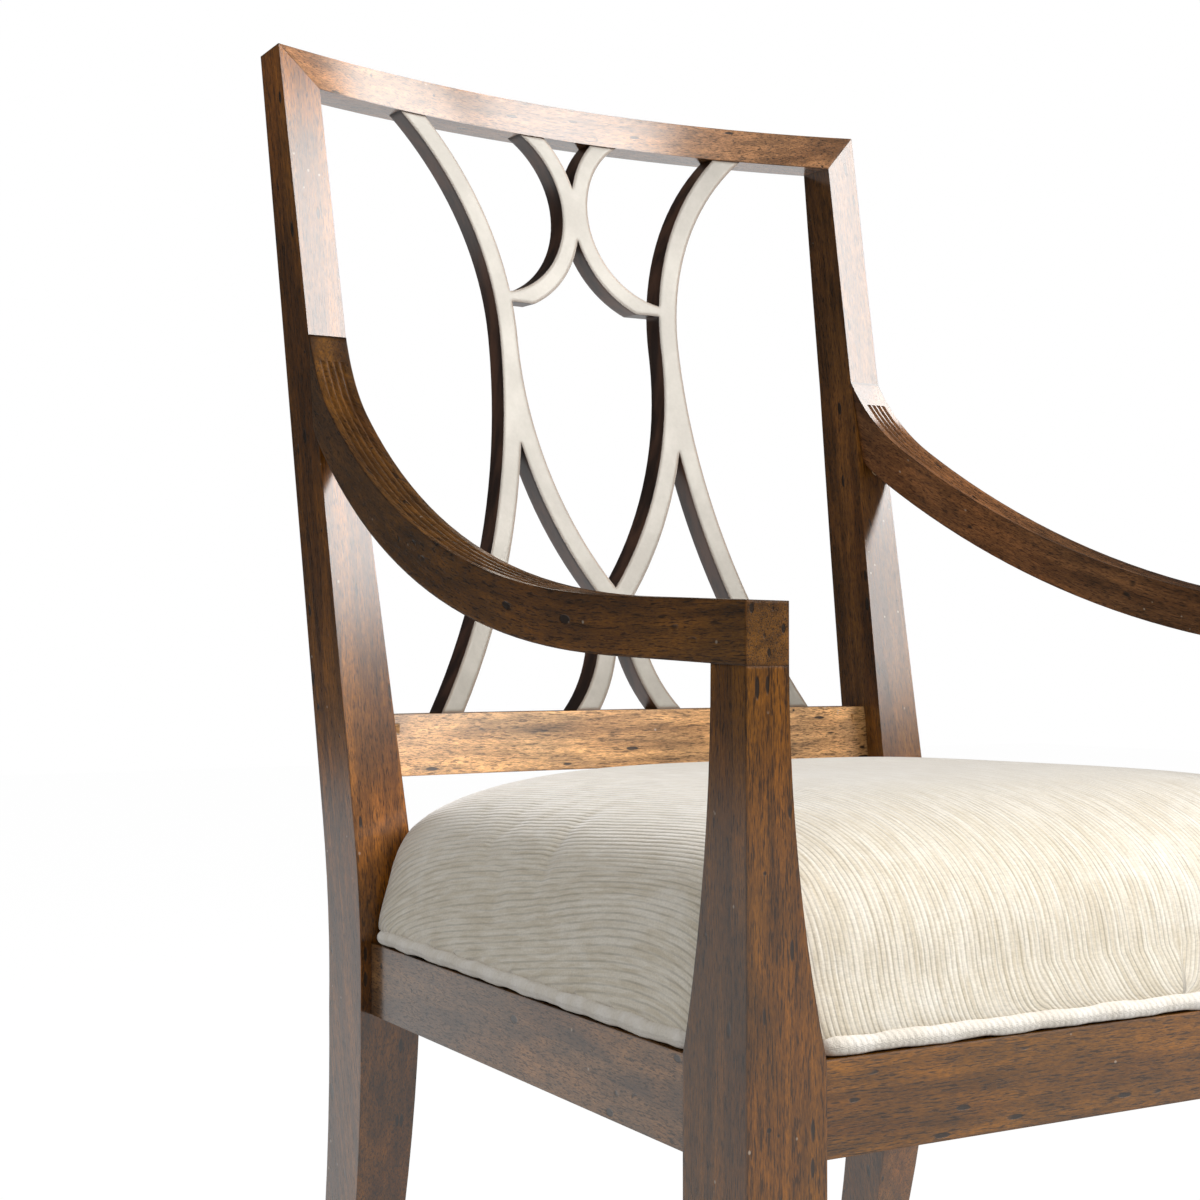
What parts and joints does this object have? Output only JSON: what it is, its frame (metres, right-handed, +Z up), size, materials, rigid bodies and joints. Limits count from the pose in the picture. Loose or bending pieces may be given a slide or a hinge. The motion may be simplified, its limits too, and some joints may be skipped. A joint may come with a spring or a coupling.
{
  "type": "dining armchair",
  "caption": "Dining armchair with a raked open back of interlocking curved loops, swooping reeded arms, sabre rear legs and a crowned upholstered seat",
  "frame": {"origin": "the floor under the middle of the chair's bounding box", "axes": "+X to the right of someone facing the chair, +Y towards the back, +Z up"},
  "size_m": [0.6, 0.6682, 1.018],
  "materials": {
    "frame_wood": "satin, worn walnut brown",
    "splat_finish": "soft champagne leaf over wood",
    "hidden_wood": "bare, sanded",
    "screw_steel": "zinc plated",
    "foam": "matte foam",
    "seat_fabric": "ribbed pile, cream",
    "dust_cloth": "matte woven sheet",
    "glide_plastic": "matte"
  },
  "bodies": {
    "root": {"left_rear_post": "frame_wood", "right_rear_post": "frame_wood", "left_front_post": "frame_wood", "right_front_post": "frame_wood", "crest_rail": "frame_wood", "lower_back_rail": "frame_wood", "back_splat": "splat_finish", "left_arm": "frame_wood", "right_arm": "frame_wood", "left_side_rail": "frame_wood", "right_side_rail": "frame_wood", "front_seat_rail": "frame_wood", "rear_seat_rail": "frame_wood", "left_front_corner_block": "hidden_wood", "right_front_corner_block": "hidden_wood", "left_rear_corner_block": "hidden_wood", "right_rear_corner_block": "hidden_wood", "corner_block_screws": "screw_steel", "seat_fixing_screws": "screw_steel", "seat_board": "hidden_wood", "seat_foam": "foam", "seat_cover": "seat_fabric", "seat_welt": "seat_fabric", "dust_cover": "dust_cloth", "arm_dowels": "hidden_wood", "foot_glides": "glide_plastic"}
  },
  "joints": []
}
